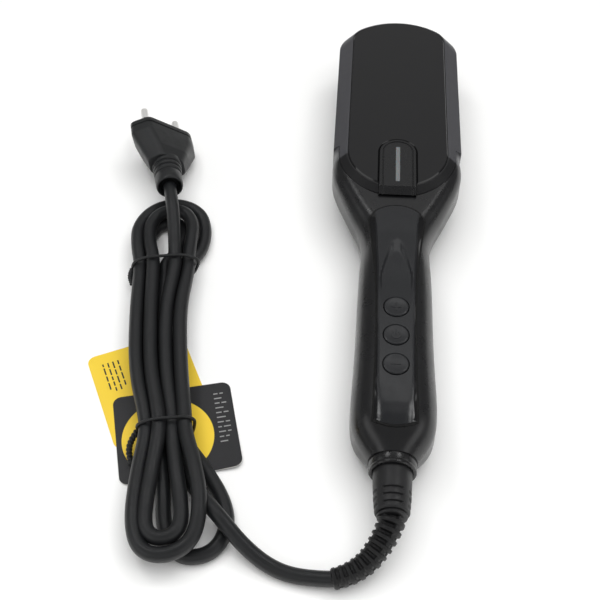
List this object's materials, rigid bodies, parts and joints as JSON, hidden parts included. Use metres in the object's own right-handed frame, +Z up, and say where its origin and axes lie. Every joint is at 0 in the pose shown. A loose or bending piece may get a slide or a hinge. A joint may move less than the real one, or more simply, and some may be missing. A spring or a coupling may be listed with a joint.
{
  "type": "heated styling brush",
  "caption": "Heated hair styling brush with a paddle head of heated pins, a waisted handle with push buttons, a swivelling cord tied in a hank, and a round-pin plug.",
  "frame": {"origin": "middle of the brush's outline on the surface that it lies on, cord left out", "axes": "+Y from the cord's end to the head's far end, +Z up out of the head's back, +X to the right"},
  "size_m": [0.1762, 0.336, 0.039],
  "materials": {
    "gloss_black_casing": "smooth moulded gloss",
    "gloss_black_cover": "polished gloss",
    "satin_grey_band": "satin moulding",
    "matte_black_plastic": "fine matte moulding",
    "clear_light_bar": "milky diffuser",
    "green_board": "laminate",
    "white_component": "plain",
    "plated_steel": "plated",
    "anodised_plate": "dark coated",
    "ceramic_heater": "fired ceramic",
    "insulating_film": "woven sheet",
    "red_wire": "silicone insulation",
    "black_cord": "satin cord jacket",
    "black_plug": "fine matte moulding",
    "plug_pin_metal": "nickel plated",
    "black_card": "printed card",
    "yellow_card": "printed card"
  },
  "bodies": {
    "cord_set": {"swivel_barrel": "matte_black_plastic", "cord_boot": "black_cord", "cord_free": "black_cord", "cord_hank": "black_cord", "cord_plug_lead": "black_cord", "upper_twist_tie": "black_cord", "lower_twist_tie": "black_cord", "yellow_tag": "yellow_card", "black_tag": "black_card", "plug_body": "black_plug", "plug_sleeve": "black_plug", "plug_pins": "plug_pin_metal", "plug_pin_sleeves": "black_plug"},
    "brush": {"upper_casing": "gloss_black_casing", "lower_casing": "gloss_black_casing", "swivel_collar": "gloss_black_casing", "head_cover": "gloss_black_cover", "indicator_bezel": "gloss_black_cover", "control_panel": "gloss_black_cover", "head_shell": "satin_grey_band", "head_frame": "matte_black_plastic", "pin_tips": "matte_black_plastic", "push_switches": "matte_black_plastic", "indicator_light_bar": "clear_light_bar", "indicator_board": "green_board", "control_board": "green_board", "indicator_lamps": "white_component", "thermal_fuse": "white_component", "head_screws": "plated_steel", "clamp_screws": "plated_steel", "board_screws": "plated_steel", "casing_screws": "plated_steel", "heater_clamp": "plated_steel", "temperature_sensor": "plated_steel", "comb_plate": "anodised_plate", "heated_pins": "anodised_plate", "heating_elements": "ceramic_heater", "insulating_sheet": "insulating_film", "mains_leads": "red_wire", "heater_leads": "red_wire"},
    "plus_button": {"plus_button": "gloss_black_cover"},
    "power_button": {"power_button": "gloss_black_cover"},
    "minus_button": {"minus_button": "gloss_black_cover"}
  },
  "joints": [
    {"name": "cord_swivel", "type": "hinge", "parent": "cord_set", "child": "brush", "pos_m": [0, -0.128, 0.017], "axis": [0, 1, 0], "range_deg": [-160, 160]},
    {"name": "plus_button_press", "type": "slide", "parent": "brush", "child": "plus_button", "axis": [0, 0, -1], "range_m": [0, 0.0006], "stiffness_N_per_m": 1500},
    {"name": "power_button_press", "type": "slide", "parent": "brush", "child": "power_button", "axis": [0, 0, -1], "range_m": [0, 0.0006], "stiffness_N_per_m": 1500},
    {"name": "minus_button_press", "type": "slide", "parent": "brush", "child": "minus_button", "axis": [0, 0, -1], "range_m": [0, 0.0006], "stiffness_N_per_m": 1500}
  ]
}
